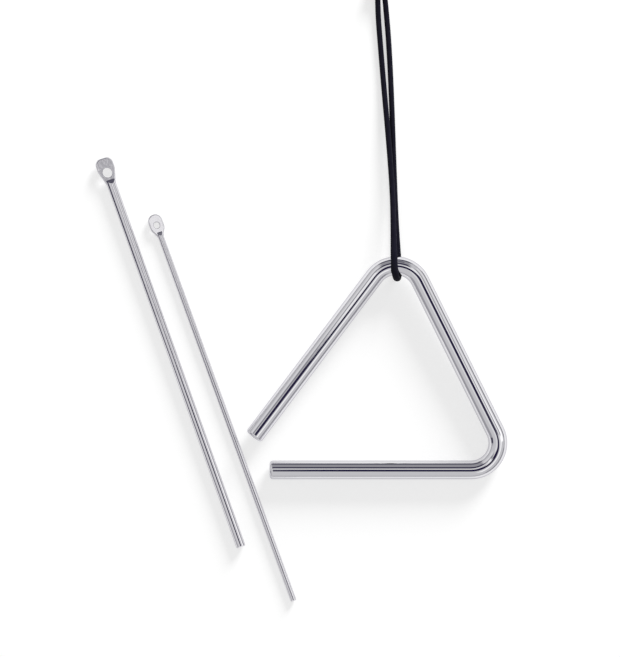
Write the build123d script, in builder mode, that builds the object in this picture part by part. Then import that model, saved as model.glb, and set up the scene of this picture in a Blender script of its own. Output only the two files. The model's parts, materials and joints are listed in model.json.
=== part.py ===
from build123d import *
import os
from math import asin, cos, degrees, radians, sin, tan

# Triangle instrument: a round steel bar bent into an open triangle, the cord loop that it hangs from,
# and two steel beaters, each with one end forged flat into an eye.
# The set lies on a table. Millimetres, +Z up, +Y from the triangle's base leg towards its top bend.
# The origin is on the table, under the middle of the box round the bar and the beaters.

# Triangle bar: legs are measured on their axes, to the point where two axes meet,
# and the open leg ends where it leaves the gap above the base leg
bar_diameter = 10.0
base_leg_length = 131.0
closed_leg_length = 136.4
open_corner_gap = 9.65
closed_corner_angle = 63.4
top_corner_angle = 63.6
bend_radius = 14.4
bar_end_round = 1.7

# Holding cord: the bight goes once round the bar at the top bend and both strands run to the knot
cord_diameter = 3.0
cord_sides = 8
cord_clearance = 0.3
cord_leaving_angle = 15.0
bight_corners = 3

# Knot in the cord: wraps side by side round a core, and two trimmed tails
knot_wraps = 3
knot_wrap_sides = 6
knot_wrap_radius = 3.1
knot_wrap_pitch = 3.2
tail_length = 15.0
tail_end_bevel = 0.5
tail_spread_angle = 7.0

# Large beater: places along it are measured from the tip of its eye
large_rod_diameter = 5.0
large_length = 221.2
large_end_bevel = 0.6
large_eye_width = 9.7
large_eye_thickness = 2.0
large_eye_corner = 3.4
large_eye_flank = 1.0
large_eye_round = 0.8
large_neck_place = 14.5
large_neck_round = 16.0
large_facet_length = 2.35
large_hole_diameter = 5.5
large_hole_place = 8.1
large_hole_bevel = 0.25

# Small beater
small_rod_diameter = 3.2
small_length = 220.5
small_end_bevel = 0.5
small_eye_width = 7.7
small_eye_thickness = 1.4
small_eye_corner = 3.7
small_eye_flank = 3.3
small_eye_round = 0.55
small_neck_place = 12.0
small_neck_round = 6.0
small_facet_length = 2.1
small_hole_diameter = 3.5
small_hole_place = 6.0
small_hole_bevel = 0.2

# What both beaters share: the flat eye narrows to a little less than the rod, and the rod runs into the eye
neck_width_share = 0.96
facet_root_share = 0.25

# Places on the table: the base leg starts at its open end, the small beater lies clear of the open corner,
# the large one lies clear of the small one, and their free ends lie this far below the base leg
base_leg_x = -16.9
base_leg_y = -48.35
small_beater_gap = 3.4
small_end_below = 70.5
small_lean_angle = 20.04
small_eye_tilt_angle = 15.0
large_beater_gap = 10.1
large_end_below = 41.5
large_turn_angle = 0.38
large_eye_tilt_angle = 18.0

os.makedirs("parts", exist_ok=True)

bar_radius = bar_diameter / 2
cord_radius = cord_diameter / 2


# Triangle bar: the base leg lies on the table and the cord under the top bend lifts that corner
def along(heading):
    return Vector(cos(radians(heading)), sin(radians(heading)))


closed_leg_heading = 180 - closed_corner_angle
open_leg_heading = closed_leg_heading + 180 - top_corner_angle
closed_corner = Vector(0, 0)
base_end = closed_corner - Vector(base_leg_length, 0)
top_corner = closed_corner + along(closed_leg_heading) * closed_leg_length
open_end_rise = bar_radius + open_corner_gap + bar_radius * abs(along(open_leg_heading).X)
open_leg_length = (top_corner.Y - open_end_rise) / -along(open_leg_heading).Y
open_end = top_corner + along(open_leg_heading) * open_leg_length
inward = (along(open_leg_heading) - along(closed_leg_heading)).normalized()
bend_center = top_corner + inward * (bend_radius / sin(radians(top_corner_angle / 2)))
bend_top = bend_center + Vector(0, bend_radius)

lift = cord_diameter + cord_clearance
bar_tilt = degrees(asin(lift / bend_top.Y))
bar_plane = Plane((base_leg_x + base_leg_length, base_leg_y, bar_radius)).rotated((bar_tilt, 0, 0))
swing_center = bar_plane.from_local_coords(bend_top)

with BuildPart() as triangle_bar:
    with BuildLine(bar_plane) as bar_axis:
        bar_corners = [(corner.X, corner.Y) for corner in (base_end, closed_corner, top_corner, open_end)]
        FilletPolyline(bar_corners, radius=bend_radius)
    with BuildSketch(Plane(bar_axis.line @ 0, z_dir=bar_axis.line % 0)):
        Circle(bar_radius)
    sweep(path=bar_axis.line)
    end_faces = triangle_bar.faces().filter_by(GeomType.PLANE)
    fillet(end_faces.edges(), bar_end_round)

triangle_bar.part.label = "triangle_bar"
export_step(triangle_bar.part, "parts/triangle_bar.step")

# Cord: (x, y) from the centre of the bar's section at the top bend, and height above the table
upper_strand = [
    (-9.6, 149.9, 4.2),
    (-9.4, 137.9, 1.7),
    (-7.9, 119.9, 1.5),
    (-6.0, 97.9, 1.7),
    (-3.5, 68.9, 4.2),
    (-1.2, 39.9, 5.6),
    (-0.6, 16.9, 10.9),
]
lower_strand = [
    (1.1, 10.9, 1.5),
    (-0.3, 42.9, 1.5),
    (-2.1, 95.9, 1.5),
    (-3.7, 121.9, 1.5),
    (-5.1, 137.9, 1.7),
    (-6.4, 149.9, 4.2),
]
bight_x = [-0.5, 0.5, 1.2]

# The bight's corners stand round the bar, so that its arcs are the bar's size
bight_radius = bar_radius + cord_clearance + cord_radius
bight_turn = (180 + cord_leaving_angle) / bight_corners
corner_reach = bight_radius / cos(radians(bight_turn / 2))
route = [Vector(swing_center.X + x, swing_center.Y + y, z) for x, y, z in upper_strand]
for corner in range(bight_corners):
    bearing = radians(90 - cord_leaving_angle + bight_turn * (corner + 0.5))
    route.append(
        swing_center + Vector(bight_x[corner], corner_reach * cos(bearing), corner_reach * sin(bearing))
    )
route += [Vector(swing_center.X + x, swing_center.Y + y, z) for x, y, z in lower_strand]

# Each arc is as large as the two runs that it joins allow
arc_share = 0.45
cord_radii = []
for before, here, after in zip(route, route[1:], route[2:]):
    turn = radians((here - before).get_angle(after - here))
    shorter_run = min((here - before).length, (after - here).length)
    cord_radii.append(arc_share * shorter_run / tan(turn / 2))

with BuildPart() as cord_loop:
    with BuildLine() as cord_axis:
        FilletPolyline(route, radius=cord_radii)
    with BuildSketch(Plane(cord_axis.line @ 0, z_dir=cord_axis.line % 0)) as cord_section:
        RegularPolygon(cord_radius, cord_sides)
    sweep(path=cord_axis.line)

cord_loop.part.label = "cord_loop"
export_step(cord_loop.part, "parts/cord_loop.step")

# Knot: it starts where the strands end and lies on the table
knot_reach = knot_wrap_radius + cord_radius
knot_length = knot_wrap_pitch * (knot_wraps - 1)
strand_ends = (route[0] + route[-1]) / 2
knot_center = Vector(strand_ends.X, strand_ends.Y - cord_radius + knot_length / 2, knot_reach)
knot_plane = Plane(knot_center, x_dir=(0, 1, 0), z_dir=(0, 0, 1))
tail_start = knot_center + Vector(0, knot_length / 2, 0)
tail_drop_angle = degrees(asin((knot_reach - cord_radius) / tail_length))

with BuildPart() as cord_knot:
    with BuildSketch(knot_plane):
        with GridLocations(knot_wrap_pitch, 0, knot_wraps, 1):
            with Locations((0, knot_wrap_radius)):
                RegularPolygon(cord_radius, knot_wrap_sides)
        with Locations((0, knot_wrap_radius / 2)):
            Rectangle(knot_length, knot_wrap_radius)
    revolve(axis=Axis(knot_center, (0, 1, 0)))
    for side in (-1, 1):
        tail_direction = along(90 - side * tail_spread_angle) - Vector(0, 0, sin(radians(tail_drop_angle)))
        with BuildSketch(Plane(tail_start + Vector(side * cord_radius, 0, 0), z_dir=tail_direction)):
            RegularPolygon(cord_radius, cord_sides)
        extrude(amount=tail_length)
    tail_ends = cord_knot.faces().filter_by(GeomType.PLANE).sort_by(Axis.Y)[-2:]
    chamfer(tail_ends.edges(), tail_end_bevel)

cord_knot.part.label = "cord_knot"
export_step(cord_knot.part, "parts/cord_knot.step")


# Beater: a round rod, pressed flat by two sloping facets into an eye with a punched hole
def make_beater(
    end_place,
    lean_angle,
    tilt_angle,
    rod_diameter,
    length,
    end_bevel,
    eye_width,
    eye_thickness,
    eye_corner,
    eye_flank,
    eye_round,
    neck_place,
    neck_round,
    facet_length,
    hole_diameter,
    hole_place,
    hole_bevel,
):
    rod_radius = rod_diameter / 2
    eye_radius = eye_width / 2
    eye_shoulder = eye_radius - eye_corner
    half_thickness = eye_thickness / 2
    tongue_width = rod_diameter * neck_width_share
    rod_direction = along(90 + lean_angle)
    eye_normal = Vector(0, 0, 1).rotate(Axis((0, 0, 0), rod_direction), tilt_angle)
    flat_plane = Plane((*end_place, rod_radius), x_dir=rod_direction, z_dir=eye_normal)
    section_plane = Plane(flat_plane.origin, x_dir=flat_plane.y_dir, z_dir=flat_plane.x_dir)
    side_plane = Plane(flat_plane.origin, x_dir=flat_plane.x_dir, z_dir=-flat_plane.y_dir)
    rod_line = Axis(flat_plane.origin, flat_plane.x_dir)
    flat_line = Axis(flat_plane.origin, flat_plane.z_dir)

    # Along the rod from its free end: the neck, the foot of the facet, and the end of the rod in the eye
    neck = length - neck_place
    facet_foot = neck + facet_length
    facet_root = facet_length * facet_root_share
    rod_end = facet_foot + facet_root
    root_height = half_thickness - facet_root * (rod_radius - half_thickness) / facet_length

    with BuildPart() as rod:
        with BuildSketch(section_plane):
            Circle(rod_radius)
        extrude(amount=rod_end)
        chamfer(rod.edges().sort_by(rod_line)[0], end_bevel)
        with BuildSketch(side_plane):
            with BuildLine():
                Polyline(
                    (neck, rod_radius),
                    (rod_end, root_height),
                    (rod_end, rod_radius),
                    close=True,
                )
            make_face()
            mirror(about=Plane.XZ)
        extrude(amount=rod_radius, both=True, mode=Mode.SUBTRACT)

    with BuildPart() as beater:
        with BuildSketch(flat_plane) as eye:
            with Locations((length - eye_corner, eye_shoulder), (length - eye_corner, -eye_shoulder)):
                Circle(eye_corner)
            with Locations((length - eye_radius - eye_flank, 0)):
                Circle(eye_radius)
            with Locations((neck, 0)):
                Circle(tongue_width / 2)
            make_hull()
            with Locations((neck, 0)):
                Rectangle(2 * tongue_width, tongue_width)
            neck_corners = eye.vertices().sort_by(Axis.X)[2:4]
            fillet(neck_corners, neck_round)
        extrude(amount=half_thickness, both=True)
        eye_faces = beater.faces().filter_by(GeomType.PLANE).sort_by(flat_line)
        fillet(eye_faces[0].edges() + eye_faces[-1].edges(), eye_round)
        add(rod.part)
        with BuildSketch(flat_plane):
            with Locations((length - hole_place, 0)):
                Circle(hole_diameter / 2)
        extrude(amount=eye_thickness, both=True, mode=Mode.SUBTRACT)
        hole_edges = beater.edges(Select.LAST).filter_by(GeomType.CIRCLE)
        chamfer(hole_edges, hole_bevel)
    return beater


# Beaters' places: each rod's axis lies at a reach across the lean, clear of what lies to its right
across_lean = along(small_lean_angle)
bar_ends = [bar_plane.from_local_coords(end) for end in (base_end, open_end)]
bar_reach = min(end.dot(across_lean) for end in bar_ends) - bar_radius
small_reach = bar_reach - small_beater_gap - small_rod_diameter / 2
large_reach = small_reach - small_rod_diameter / 2 - large_beater_gap - large_eye_width / 2


def place_on_table(reach, end_below):
    end_y = base_leg_y - end_below
    return (reach - end_y * across_lean.Y) / across_lean.X, end_y


small_end = place_on_table(small_reach, small_end_below)
large_end = place_on_table(large_reach, large_end_below)

large_beater = make_beater(
    end_place=large_end,
    lean_angle=small_lean_angle - large_turn_angle,
    tilt_angle=large_eye_tilt_angle,
    rod_diameter=large_rod_diameter,
    length=large_length,
    end_bevel=large_end_bevel,
    eye_width=large_eye_width,
    eye_thickness=large_eye_thickness,
    eye_corner=large_eye_corner,
    eye_flank=large_eye_flank,
    eye_round=large_eye_round,
    neck_place=large_neck_place,
    neck_round=large_neck_round,
    facet_length=large_facet_length,
    hole_diameter=large_hole_diameter,
    hole_place=large_hole_place,
    hole_bevel=large_hole_bevel,
)
large_beater.part.label = "large_beater"
export_step(large_beater.part, "parts/large_beater.step")

small_beater = make_beater(
    end_place=small_end,
    lean_angle=small_lean_angle,
    tilt_angle=small_eye_tilt_angle,
    rod_diameter=small_rod_diameter,
    length=small_length,
    end_bevel=small_end_bevel,
    eye_width=small_eye_width,
    eye_thickness=small_eye_thickness,
    eye_corner=small_eye_corner,
    eye_flank=small_eye_flank,
    eye_round=small_eye_round,
    neck_place=small_neck_place,
    neck_round=small_neck_round,
    facet_length=small_facet_length,
    hole_diameter=small_hole_diameter,
    hole_place=small_hole_place,
    hole_bevel=small_hole_bevel,
)
small_beater.part.label = "small_beater"
export_step(small_beater.part, "parts/small_beater.step")

# What the cord measures: its arcs, its length and its volume against section times length
cord_length = sum(edge.length for edge in cord_axis.edges())
print("cord radii", [round(radius, 1) for radius in cord_radii])
print("cord length", round(cord_length, 1))
cord_volume_ratio = cord_loop.part.volume / (cord_section.sketch.area * cord_length)
print("cord volume over section times length", round(cord_volume_ratio, 4))
print("swing centre", swing_center)
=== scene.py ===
import json
from math import cos, pi, radians, sin

import bpy
import numpy as np
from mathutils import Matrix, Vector


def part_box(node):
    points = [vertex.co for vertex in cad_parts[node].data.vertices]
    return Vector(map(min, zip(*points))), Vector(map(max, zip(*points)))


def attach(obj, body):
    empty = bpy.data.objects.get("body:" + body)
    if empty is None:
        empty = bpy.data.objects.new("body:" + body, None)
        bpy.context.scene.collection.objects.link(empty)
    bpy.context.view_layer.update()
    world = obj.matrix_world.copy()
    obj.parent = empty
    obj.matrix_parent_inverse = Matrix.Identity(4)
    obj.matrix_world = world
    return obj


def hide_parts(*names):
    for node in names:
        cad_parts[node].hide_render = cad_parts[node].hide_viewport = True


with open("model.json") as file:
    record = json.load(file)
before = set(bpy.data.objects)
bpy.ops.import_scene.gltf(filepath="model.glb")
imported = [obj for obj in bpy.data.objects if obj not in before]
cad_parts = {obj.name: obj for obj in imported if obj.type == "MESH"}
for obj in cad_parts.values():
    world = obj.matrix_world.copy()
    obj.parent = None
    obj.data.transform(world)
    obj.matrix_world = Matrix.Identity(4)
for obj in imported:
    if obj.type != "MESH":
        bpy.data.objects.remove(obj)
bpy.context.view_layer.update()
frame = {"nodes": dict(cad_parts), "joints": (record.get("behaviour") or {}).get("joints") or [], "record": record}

# Triangle instrument on a pale table, seen from straight above. Lengths are metres, in the frame's own axes.
MM = 0.001
swing = next(joint for joint in frame["joints"] if joint["name"] == "cord_swing")
swing_center = Vector(swing["pos_m"])
mounts = {mount["name"]: mount for mount in frame["record"]["mounts"]}

# Photograph: its size in pixels, the size of one pixel at the height of the rods, and where its middle lies
# from the centre of the bar's section at the top bend
PHOTO_WIDTH = 620
PHOTO_HEIGHT = 657
PIXEL_SIZE = 0.535 * MM
PICTURE_CENTER = swing_center + Vector((-45.86, -33.45, -3.3)) * MM
CAMERA_DISTANCE = 1.2
CAMERA_CLIP = 0.01
SENSOR_SIZE = 36.0

# Cord: the route's points are (x, y) from the centre of the bar's section at the top bend, and height
# above the table, in millimetres
CORD_DIAMETER = 3.0 * MM
UPPER_STRAND = [
    (-9.6, 149.9, 4.2),
    (-9.6, 137.9, 1.7),
    (-8.2, 119.9, 1.5),
    (-6.4, 97.9, 1.7),
    (-3.9, 68.9, 4.2),
    (-1.7, 39.9, 5.6),
    (-1.4, 16.9, 10.9),
]
BIGHT = [
    (-1.2, -2.4, 16.0),
    (0.5, -8.0, 9.35),
    (1.8, -4.3, 1.5),
]
LOWER_STRAND = [
    (0.9, 10.9, 1.5),
    (-0.5, 42.9, 1.5),
    (-2.3, 95.9, 1.5),
    (-3.7, 121.9, 1.5),
    (-5.1, 137.9, 1.7),
    (-6.4, 149.9, 4.2),
]
CORD_STEPS = 136

# The bight is pressed wider across the bar, less and less with the distance from the bar's centre
BIGHT_SPREAD_SHARE = 0.3
BIGHT_SPREAD_REACH = 16 * MM

# Braid of the cord: strands that go each way round, sides of the tube, and depth of the relief. The strand on
# top sinks by the dip's share towards the edges of the one under it.
BRAID_STRANDS = 8
BRAID_SIDES = 48
BRAID_DEPTH = 0.13 * MM
BRAID_DIP_SHARE = 0.45

# Cut ends of the cord: they narrow to a share of the radius over a stretch that is another share of it
END_WIDTH_SHARE = 0.55
END_LENGTH_SHARE = 0.5

# Knot: both strands wind side by side round a core, and leave it as trimmed tails
KNOT_TURNS = 1.6
KNOT_WRAP_RADIUS = 3.1 * MM
KNOT_LENGTH = 7.0 * MM
KNOT_POINTS_A_TURN = 12
KNOT_INNER_SHARE = 0.3
KNOT_RAMP_SHARE = 0.22
KNOT_CORE_RADIUS = 1.8 * MM
KNOT_STEPS = 24
TAIL_LENGTH = 10.4 * MM
TAIL_SPREAD = 1.6 * MM
TAIL_DROP = KNOT_WRAP_RADIUS / 3
TAIL_MIDDLE_SHARE = 1 / 3
TAIL_REST_SHARE = 0.6

# Finish of the bar: tint, the metal's edge tint set darker than its own to paint shade into the reflection along
# the rims, roughness, and the noise of its swell, grain and smudges
BAR_TINT = (0.78, 0.775, 0.8, 1)
BAR_RIM_PAINTED_SHADE = (0.6, 0.59, 0.63, 1)
BAR_ROUGHNESS = (0.02, 0.06)
BAR_SWELL_SCALE = 60.0
BAR_SWELL_DEPTH = 0.03 * MM
BAR_GRAIN_SCALE = 1400.0
BAR_GRAIN_DEPTH = 0.001 * MM
BAR_SMUDGE_SCALE = 55.0
BAR_SMUDGE_DETAIL = 4.0
BAR_SMUDGE_RANGE = (0.35, 0.75)

# Finish of the beaters: how far their rods lean to the left, where the satin of the eye starts below its
# hole, tint, an edge tint darker than the metal's own that paints shade into the reflection along the rims,
# roughness, and the noise of the rod's swell and drawing lines and of the pressed eye
LARGE_LEAN = radians(19.66)
SMALL_LEAN = radians(20.04)
SATIN_START = -4.5 * MM
SATIN_END = -3.5 * MM
BEATER_TINT = (0.78, 0.77, 0.8, 1)
BEATER_RIM_PAINTED_SHADE = (0.45, 0.44, 0.48, 1)
ROD_ROUGHNESS = (0.04, 0.09)
EYE_ROUGHNESS = 0.14
ROD_SWELL_SCALE = 90.0
ROD_SWELL_DEPTH = 0.02 * MM
STREAK_STRETCH = (5000.0, 60.0, 5000.0)
STREAK_SCALE = 1.0
STREAK_DEPTH = 0.001 * MM
STREAK_RANGE = (0.3, 0.7)
PRESSED_SCALE = 500.0
PRESSED_DETAIL = 3.0
PRESSED_DEPTH = 0.04 * MM

# Finish of the cord: two tints, and the noise of its fibres and of the shade between the tints
CORD_DARK = (0.004, 0.0036, 0.009, 1)
CORD_LIGHT = (0.011, 0.0102, 0.019, 1)
CORD_ROUGHNESS = (0.6, 0.8)
CORD_SPECULAR = 0.1
CORD_SHEEN = 0.03
CORD_SHEEN_ROUGHNESS = 0.4
FIBRE_SCALE = 5200.0
FIBRE_DETAIL = 3.0
FIBRE_DEPTH = 0.05 * MM
FIBRE_RANGE = (0.3, 0.7)
SHADE_SCALE = 240.0
SHADE_DETAIL = 3.0

# Table: the lift is the light that brings it to white where the camera and the metal see it
WHITE = (1, 1, 1, 1)
FLOOR_SIZE = 6.0
FLOOR_DROP = 0.1 * MM
FLOOR_TINT = (0.45, 0.45, 0.45, 1)
FLOOR_ROUGHNESS = 0.9
FLOOR_LIFT = 0.61

# Studio round the table, which the chrome reflects, in degrees. A heading is 0 to the right and 90 beyond
# the top bend. After its kind, a panel has its heading, angle from straight up, half width, half height, soft
# edge and level, and a spot has a radius in place of the two halves. Each lies in front of those above it.
STUDIO_LEVEL = 0.66
HORIZON_LEVEL = 0.46
HORIZON_LOW = 86
HORIZON_HIGH = 66
STUDIO_CARDS = [
    # Beyond the top bend: greys for the base leg, the open leg and the facets of the beaters
    ("panel", 90, 57, 24, 21, 6, 0.34),
    ("panel", 78, 56, 5.2, 6, 2, 0.09),
    ("panel", 118, 22, 20, 16, 3, 0.3),
    ("panel", 90, 84, 30, 14, 8, 0.1),
    # Lower right: a window with a dark wall below it, for the open leg
    ("panel", 326, 35, 24, 7, 5, 1.1),
    ("panel", 323, 84, 25, 12, 6, 0.3),
    # Left: dark walls for the left sides of the closed leg and the beaters
    ("panel", 206, 78, 25, 14, 8, 0.38),
    ("panel", 195, 77, 8, 14, 4, 0.06),
    # Right: bright and dark strips for the right sides of the closed leg and the beaters
    ("panel", 22, 86, 16, 6, 4, 0.1),
    ("panel", 24, 61, 20, 8, 6, 0.9),
    ("panel", 8, 48, 9, 16, 4, 1.35),
    ("panel", 27, 37, 14, 7.5, 4, 0.4),
    ("panel", 25, 27, 14, 4, 3, 1.05),
    # Upper left and lower left: pale walls
    ("panel", 143, 48, 16, 10, 8, 0.8),
    ("panel", 206, 18, 14, 8, 6, 0.85),
    # Overhead: dark gaps and bright strips, which make the lines along the middle of the rods
    ("panel", 233, 5.3, 11, 2.4, 2, 0.01),
    ("spot", 305, 8.5, 10.6, 3, 0.01),
    ("panel", 53, 10.1, 25, 7.2, 2, 0.75),
    ("spot", 42, 16, 6, 4, 1.0),
    ("panel", 90, 30, 17, 8.5, 4, 0.03),
    ("panel", 7, 10.5, 4.5, 8, 2, 0.01),
    ("panel", 143, 14, 2.6, 13.2, 2, 1.0),
    ("spot", 82, 4, 2.8, 1.5, 0.01),
]
STUDIO_DARK = (0.012, 0.008, 0.045, 1)
AMBIENT = (0.5, 0.5, 0.5, 1)

# Key light: a soft box low beyond the top bend on the right, so the shadows fall to the lower left
KEY_HEADING = 62.0
KEY_ZENITH = 71.0
KEY_DISTANCE = 3.5
KEY_SIZE = 1.5
KEY_POWER = 180.0

# Mix node sockets by place, because their names repeat: factor, first, second, and the output
FLOAT_MIX = (0, 2, 3, 0)
COLOR_MIX = (0, 6, 7, 2)


# Node helpers
def new_material(name):
    material = bpy.data.materials.new(name)
    material.use_nodes = True
    tree = material.node_tree
    return material, tree, tree.nodes["Principled BSDF"]


def set_inputs(tree, node, inputs):
    """Links the inputs that are output sockets, and sets the others on the node's own sockets."""
    for socket, value in inputs:
        if isinstance(value, bpy.types.NodeSocket):
            tree.links.new(value, node.inputs[socket])
        else:
            node.inputs[socket].default_value = value


def add_node(tree, kind, inputs=(), **settings):
    """A node of that kind, with its settings and with inputs as (socket, value or output socket) pairs."""
    node = tree.nodes.new(kind)
    for name, value in settings.items():
        setattr(node, name, value)
    set_inputs(tree, node, inputs)
    return node


def math_node(tree, operation, first, second=0.0):
    return add_node(tree, "ShaderNodeMath", [(0, first), (1, second)], operation=operation).outputs[0]


def dot_node(tree, first, second):
    inputs = [(0, first), (1, second)]
    return add_node(tree, "ShaderNodeVectorMath", inputs, operation="DOT_PRODUCT").outputs["Value"]


def soft_step(tree, value, span, levels=(0.0, 1.0)):
    """The first level up to the span's start, the second from its end, and a smooth step between them."""
    inputs = [
        ("Value", value),
        ("From Min", span[0]),
        ("From Max", span[1]),
        ("To Min", levels[0]),
        ("To Max", levels[1]),
    ]
    return add_node(tree, "ShaderNodeMapRange", inputs, interpolation_type="SMOOTHSTEP").outputs["Result"]


def mix_node(tree, sockets, values, **settings):
    *places, output = sockets
    return add_node(tree, "ShaderNodeMix", list(zip(places, values)), **settings).outputs[output]


def mix_value(tree, factor, first, second):
    return mix_node(tree, FLOAT_MIX, (factor, first, second), data_type="FLOAT")


def mix_color(tree, factor, first, second):
    return mix_node(tree, COLOR_MIX, (factor, first, second), data_type="RGBA", clamp_factor=False)


def noise(tree, coordinates, scale, detail=2.0):
    inputs = [("Vector", coordinates), ("Scale", scale), ("Detail", detail)]
    return add_node(tree, "ShaderNodeTexNoise", inputs).outputs[0]


def bump(tree, height, distance, under=None):
    inputs = [("Height", height), ("Distance", distance)]
    if under is not None:
        inputs.append(("Normal", under))
    return add_node(tree, "ShaderNodeBump", inputs).outputs["Normal"]


# Chrome of the bar: mirror plate with a faint swell from polishing, a fine grain and smudges
def bar_chrome():
    material, tree, shader = new_material("bar_chrome_plate")
    place = add_node(tree, "ShaderNodeTexCoord").outputs["Object"]
    swell = noise(tree, place, BAR_SWELL_SCALE)
    grain = noise(tree, place, BAR_GRAIN_SCALE)
    smudge = noise(tree, place, BAR_SMUDGE_SCALE, BAR_SMUDGE_DETAIL)
    normal = bump(tree, swell, BAR_SWELL_DEPTH)
    normal = bump(tree, grain, BAR_GRAIN_DEPTH, normal)
    finish = [
        ("Roughness", soft_step(tree, smudge, BAR_SMUDGE_RANGE, BAR_ROUGHNESS)),
        ("Normal", normal),
        ("Metallic", 1.0),
        ("Base Color", BAR_TINT),
        # Edge tint below the metal's own: painted shade, a darker reflection along the rims
        ("Specular Tint", BAR_RIM_PAINTED_SHADE),
    ]
    set_inputs(tree, shader, finish)
    return material


# Chrome of a beater: duller plate over drawn rod, with drawing lines along it and a pressed, satin eye
def beater_chrome(name, eye, lean):
    material, tree, shader = new_material(name)
    place = add_node(tree, "ShaderNodeTexCoord").outputs["Object"]
    eye_inputs = [("Vector", place), ("Location", eye), ("Rotation", (0, 0, lean))]
    along = add_node(tree, "ShaderNodeMapping", eye_inputs, vector_type="TEXTURE").outputs["Vector"]
    lines = add_node(tree, "ShaderNodeMapping", [("Vector", along), ("Scale", STREAK_STRETCH)])
    streak = noise(tree, lines.outputs["Vector"], STREAK_SCALE)
    swell = noise(tree, along, ROD_SWELL_SCALE)
    pressed = noise(tree, along, PRESSED_SCALE, PRESSED_DETAIL)
    along_rod = add_node(tree, "ShaderNodeSeparateXYZ", [("Vector", along)]).outputs["Y"]
    on_eye = soft_step(tree, along_rod, (SATIN_START, SATIN_END))
    normal = bump(tree, swell, ROD_SWELL_DEPTH)
    normal = bump(tree, streak, STREAK_DEPTH, normal)
    normal = bump(tree, math_node(tree, "MULTIPLY", pressed, on_eye), PRESSED_DEPTH, normal)
    rod_roughness = soft_step(tree, streak, STREAK_RANGE, ROD_ROUGHNESS)
    finish = [
        ("Roughness", mix_value(tree, on_eye, rod_roughness, EYE_ROUGHNESS)),
        ("Normal", normal),
        ("Metallic", 1.0),
        ("Base Color", BEATER_TINT),
        # Edge tint below the metal's own: painted shade, a darker reflection along the rims
        ("Specular Tint", BEATER_RIM_PAINTED_SHADE),
    ]
    set_inputs(tree, shader, finish)
    return material


# Cord: matte black braid with a violet cast, a little lighter in places
def cord_black():
    material, tree, shader = new_material("cord_black_braid")
    place = add_node(tree, "ShaderNodeTexCoord").outputs["Object"]
    fibre = noise(tree, place, FIBRE_SCALE, FIBRE_DETAIL)
    shade = noise(tree, place, SHADE_SCALE, SHADE_DETAIL)
    finish = [
        ("Base Color", mix_color(tree, shade, CORD_DARK, CORD_LIGHT)),
        ("Normal", bump(tree, fibre, FIBRE_DEPTH)),
        ("Roughness", soft_step(tree, fibre, FIBRE_RANGE, CORD_ROUGHNESS)),
        ("Specular IOR Level", CORD_SPECULAR),
        ("Sheen Weight", CORD_SHEEN),
        ("Sheen Roughness", CORD_SHEEN_ROUGHNESS),
    ]
    set_inputs(tree, shader, finish)
    return material


# Lines and tubes
def line_points(points, steps):
    """Points along the smooth NURBS line that has these control points, as Blender draws it."""
    curve = bpy.data.curves.new("line", "CURVE")
    curve.dimensions = "3D"
    curve.resolution_u = steps
    spline = curve.splines.new("NURBS")
    spline.points.add(len(points) - 1)
    for control, point in zip(spline.points, points):
        control.co = (*point, 1)
    spline.order_u = 3
    spline.use_endpoint_u = True
    line = bpy.data.objects.new("line", curve)
    bpy.context.scene.collection.objects.link(line)
    drawn = line.evaluated_get(bpy.context.evaluated_depsgraph_get())
    mesh = bpy.data.meshes.new_from_object(drawn)
    found = np.array([vertex.co for vertex in mesh.vertices])
    bpy.data.objects.remove(line)
    bpy.data.curves.remove(curve)
    bpy.data.meshes.remove(mesh)
    return found


def ring_frames(path):
    """Two directions square to the path at each of its points, carried along it without twist."""
    tangents = np.gradient(path, axis=0)
    tangents /= np.linalg.norm(tangents, axis=1)[:, None]
    side = Vector(tangents[0]).orthogonal().normalized()
    sides = []
    before = Vector(tangents[0])
    for tangent in tangents:
        here = Vector(tangent)
        side = before.rotation_difference(here) @ side
        side = (side - here * side.dot(here)).normalized()
        sides.append(side)
        before = here
    sides = np.array(sides)
    return sides, np.cross(tangents, sides)


def braid_height(turn, length, radius):
    """Height of the braid, from 0 to 1: two families of strands, each in turn on top."""
    pitch = 2 * pi * radius / BRAID_STRANDS
    left = BRAID_STRANDS * turn + length / pitch
    right = BRAID_STRANDS * turn - length / pitch
    left_on_top = (np.floor(left) + np.floor(right)) % 2 == 0
    left_bow = np.sin(pi * (left % 1))
    right_bow = np.sin(pi * (right % 1))
    crown = np.where(left_on_top, left_bow, right_bow)
    dip = np.where(left_on_top, right_bow, left_bow)
    return np.sqrt(crown) * (1 - BRAID_DIP_SHARE * (1 - dip))


def tube_faces(count):
    """Faces of a closed tube of that many rings: quads along it and a face on each end."""
    ring = np.arange(BRAID_SIDES)
    after = (ring + 1) % BRAID_SIDES
    starts = np.arange(count - 1)[:, None] * BRAID_SIDES
    ends = starts + BRAID_SIDES
    quads = np.stack([starts + ring, starts + after, ends + after, ends + ring], axis=-1)
    faces = quads.reshape(-1, 4).tolist()
    faces.append(ring[::-1].tolist())
    faces.append((ring + (count - 1) * BRAID_SIDES).tolist())
    return faces


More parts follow.
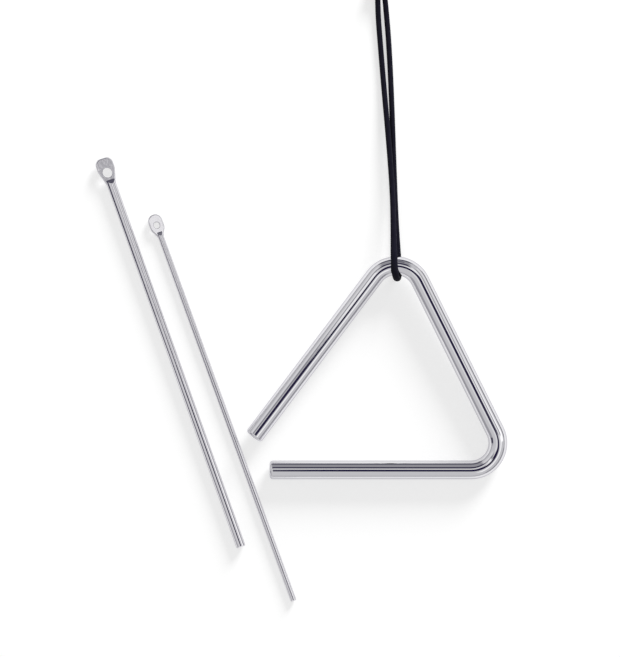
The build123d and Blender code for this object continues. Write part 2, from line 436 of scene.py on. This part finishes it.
def braided_tube(path, radius, spread=0.0):
    """Vertices and faces of a braided tube along the path, round at its ends and wider in X by the spread."""
    sides, ups = ring_frames(path)
    steps = np.linalg.norm(np.diff(path, axis=0), axis=1)
    length = np.concatenate([[0], np.cumsum(steps)])
    turn = np.arange(BRAID_SIDES) / BRAID_SIDES
    reach = radius - BRAID_DEPTH * (1 - braid_height(turn[None, :], length[:, None], radius))
    from_end = np.minimum(length, length[-1] - length)
    rounding = np.clip(from_end / (radius * END_LENGTH_SHARE), 0, 1)
    width = END_WIDTH_SHARE + (1 - END_WIDTH_SHARE) * np.sqrt(rounding * (2 - rounding))
    reach = reach * width[:, None]
    out = np.cos(2 * pi * turn)[None, :, None] * sides[:, None, :]
    out = out + np.sin(2 * pi * turn)[None, :, None] * ups[:, None, :]
    offsets = reach[:, :, None] * out
    offsets[:, :, 0] *= 1 + np.reshape(spread, (-1, 1))
    rings = path[:, None, :] + offsets
    return rings.reshape(-1, 3), tube_faces(len(path))


def mesh_piece(name, tubes, material):
    """One smooth mesh piece of several tubes."""
    vertices = []
    faces = []
    for some_vertices, some_faces in tubes:
        first = len(vertices)
        vertices += some_vertices.tolist()
        faces += [[index + first for index in face] for face in some_faces]
    mesh = bpy.data.meshes.new(name)
    mesh.from_pydata(vertices, [], faces)
    mesh.polygons.foreach_set("use_smooth", [True] * len(mesh.polygons))
    mesh.materials.append(material)
    piece = bpy.data.objects.new(name, mesh)
    bpy.context.scene.collection.objects.link(piece)
    return piece


# Cord loop: up over the bar, round it and back under it, from knot to knot
def make_cord(material):
    route = [
        Vector((swing_center.x + x * MM, swing_center.y + y * MM, z * MM))
        for x, y, z in UPPER_STRAND + BIGHT + LOWER_STRAND
    ]
    path = line_points(route, CORD_STEPS)
    from_bar = np.linalg.norm(path - np.array(swing_center), axis=1)
    spread = BIGHT_SPREAD_SHARE * np.exp(-((from_bar / BIGHT_SPREAD_REACH) ** 2))
    piece = mesh_piece("holding_cord", [braided_tube(path, CORD_DIAMETER / 2, spread)], material)
    return piece, path, route


# Knot: each strand winds out of the core, round it and back in, and ends as a tail on the table
def knot_strand(center, start, phase, side):
    count = round(KNOT_TURNS * KNOT_POINTS_A_TURN)
    points = [start]
    for index in range(count + 1):
        share = index / count
        ramp = min(1, share / KNOT_RAMP_SHARE, (1 - share) / KNOT_RAMP_SHARE)
        reach = KNOT_WRAP_RADIUS * (KNOT_INNER_SHARE + (1 - KNOT_INNER_SHARE) * ramp)
        angle = phase + 2 * pi * KNOT_TURNS * share
        offset = Vector((reach * cos(angle), KNOT_LENGTH * (share - 0.5), reach * sin(angle)))
        points.append(center + offset)
    tail_start = center + Vector((side * CORD_DIAMETER / 2, KNOT_LENGTH, -TAIL_DROP))
    tail_run = Vector((side * TAIL_SPREAD, TAIL_LENGTH, 0))
    tail_middle = tail_start + tail_run * TAIL_MIDDLE_SHARE
    tail_end = tail_start + tail_run
    tail_middle.z = CORD_DIAMETER * TAIL_REST_SHARE
    tail_end.z = CORD_DIAMETER / 2
    points += [tail_start, tail_middle, tail_end]
    return braided_tube(line_points(points, KNOT_STEPS), CORD_DIAMETER / 2)


def make_knot(material, strand_ends):
    low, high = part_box("cord_knot")
    middle_x = (low.x + high.x) / 2
    first_wrap_y = low.y + CORD_DIAMETER / 2
    center = Vector((middle_x, first_wrap_y + KNOT_LENGTH / 2, KNOT_WRAP_RADIUS + CORD_DIAMETER / 2))
    half_core = Vector((0, KNOT_LENGTH / 2, 0))
    core_line = line_points([center - half_core, center, center + half_core], KNOT_STEPS)
    tubes = [braided_tube(core_line, KNOT_CORE_RADIUS)]
    for start, phase, side in zip(strand_ends, (pi, 0), (-1, 1)):
        tubes.append(knot_strand(center, start, phase, side))
    return mesh_piece("holding_knot", tubes, material)


# Floor: a pale table top, white where the camera and the metal see it, that keeps the shadows
def make_floor():
    material, tree, shader = new_material("pale_table")
    path = add_node(tree, "ShaderNodeLightPath")
    seen = math_node(tree, "MAXIMUM", path.outputs["Is Camera Ray"], path.outputs["Is Glossy Ray"])
    seen = math_node(tree, "MAXIMUM", seen, path.outputs["Is Transmission Ray"])
    finish = [
        ("Emission Strength", math_node(tree, "MULTIPLY", seen, FLOOR_LIFT)),
        ("Emission Color", WHITE),
        ("Base Color", FLOOR_TINT),
        ("Roughness", FLOOR_ROUGHNESS),
        ("Specular IOR Level", 0.0),
    ]
    set_inputs(tree, shader, finish)
    half = FLOOR_SIZE / 2
    corners = [(x * half, y * half, -FLOOR_DROP) for x, y in ((-1, -1), (1, -1), (1, 1), (-1, 1))]
    mesh = bpy.data.meshes.new("floor")
    mesh.from_pydata(corners, [], [(0, 1, 2, 3)])
    mesh.materials.append(material)
    floor = bpy.data.objects.new("floor", mesh)
    bpy.context.scene.collection.objects.link(floor)


# Studio and key light
def facing(heading, zenith):
    """The direction with this heading and angle from straight up, in degrees."""
    heading, zenith = radians(heading), radians(zenith)
    return Vector((sin(zenith) * cos(heading), sin(zenith) * sin(heading), cos(zenith)))


def inside(tree, angle, half, edge):
    """One within half of the angle's zero, none outside it, and a soft edge between, in degrees."""
    return soft_step(tree, angle, (radians(half - edge / 2), radians(half + edge / 2)), (1.0, 0.0))


def add_panel(tree, way, under, panel):
    """The level of the studio with one more panel in front of what is there."""
    heading, zenith, half_width, half_height, edge, level = panel
    ahead = dot_node(tree, way, facing(heading, zenith))
    masks = []
    for side, half in ((facing(heading + 90, 90), half_width), (facing(heading, zenith + 90), half_height)):
        angle = math_node(tree, "ARCTAN2", dot_node(tree, way, side), ahead)
        masks.append(inside(tree, math_node(tree, "ABSOLUTE", angle), half, edge))
    return mix_value(tree, math_node(tree, "MULTIPLY", *masks), under, level)


def add_spot(tree, way, under, spot):
    """The level of the studio with one more round spot in front of what is there."""
    heading, zenith, radius, edge, level = spot
    angle = math_node(tree, "ARCCOSINE", dot_node(tree, way, facing(heading, zenith)))
    return mix_value(tree, inside(tree, angle, radius, edge), under, level)


def make_studio():
    world = bpy.data.worlds.new("studio")
    bpy.context.scene.world = world
    world.use_nodes = True
    tree = world.node_tree
    way = add_node(tree, "ShaderNodeTexCoord").outputs["Generated"]
    height = dot_node(tree, way, (0, 0, 1))
    span = (cos(radians(HORIZON_LOW)), cos(radians(HORIZON_HIGH)))
    level = soft_step(tree, height, span, (HORIZON_LEVEL, STUDIO_LEVEL))
    adders = {"panel": add_panel, "spot": add_spot}
    for kind, *card in STUDIO_CARDS:
        level = adders[kind](tree, way, level, card)
    mirrored = mix_color(tree, level, STUDIO_DARK, WHITE)
    path = add_node(tree, "ShaderNodeLightPath")
    shiny = math_node(tree, "MAXIMUM", path.outputs["Is Glossy Ray"], path.outputs["Is Transmission Ray"])
    color = mix_color(tree, shiny, AMBIENT, mirrored)
    color = mix_color(tree, path.outputs["Is Camera Ray"], color, WHITE)
    tree.links.new(color, tree.nodes["Background"].inputs["Color"])


def make_key_light():
    light = bpy.data.lights.new("key_light", "AREA")
    light.shape = "DISK"
    light.size = KEY_SIZE
    light.energy = KEY_POWER
    lamp = bpy.data.objects.new("key_light", light)
    lamp.location = facing(KEY_HEADING, KEY_ZENITH) * KEY_DISTANCE
    lamp.rotation_euler = lamp.location.to_track_quat("Z", "Y").to_euler()
    lamp.visible_glossy = False
    bpy.context.scene.collection.objects.link(lamp)


def make_camera():
    camera = bpy.data.cameras.new("camera")
    camera.sensor_width = SENSOR_SIZE
    camera.lens = SENSOR_SIZE * CAMERA_DISTANCE / (PIXEL_SIZE * max(PHOTO_WIDTH, PHOTO_HEIGHT))
    camera.clip_start = CAMERA_CLIP
    eye = bpy.data.objects.new("camera", camera)
    eye.location = PICTURE_CENTER + Vector((0, 0, CAMERA_DISTANCE))
    bpy.context.scene.collection.objects.link(eye)
    bpy.context.scene.camera = eye


make_camera()

cord_material = cord_black()
cord, cord_path, cord_route = make_cord(cord_material)
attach(cord, "cord")
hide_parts("cord_loop")

knot = make_knot(cord_material, (cord_route[0], cord_route[-1]))
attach(knot, "cord")
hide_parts("cord_knot")

# Steel pieces: their solids are the right shape, and get their finish here
finishes = {
    "triangle_bar": bar_chrome(),
    "large_beater": beater_chrome("large_beater_chrome", mounts["large_beater_eye"]["pos_m"], LARGE_LEAN),
    "small_beater": beater_chrome("small_beater_chrome", mounts["small_beater_eye"]["pos_m"], SMALL_LEAN),
}
for node, material in finishes.items():
    frame["nodes"][node].material_slots[0].material = material

make_floor()
make_studio()
make_key_light()
bpy.context.scene.view_settings.view_transform = "Standard"
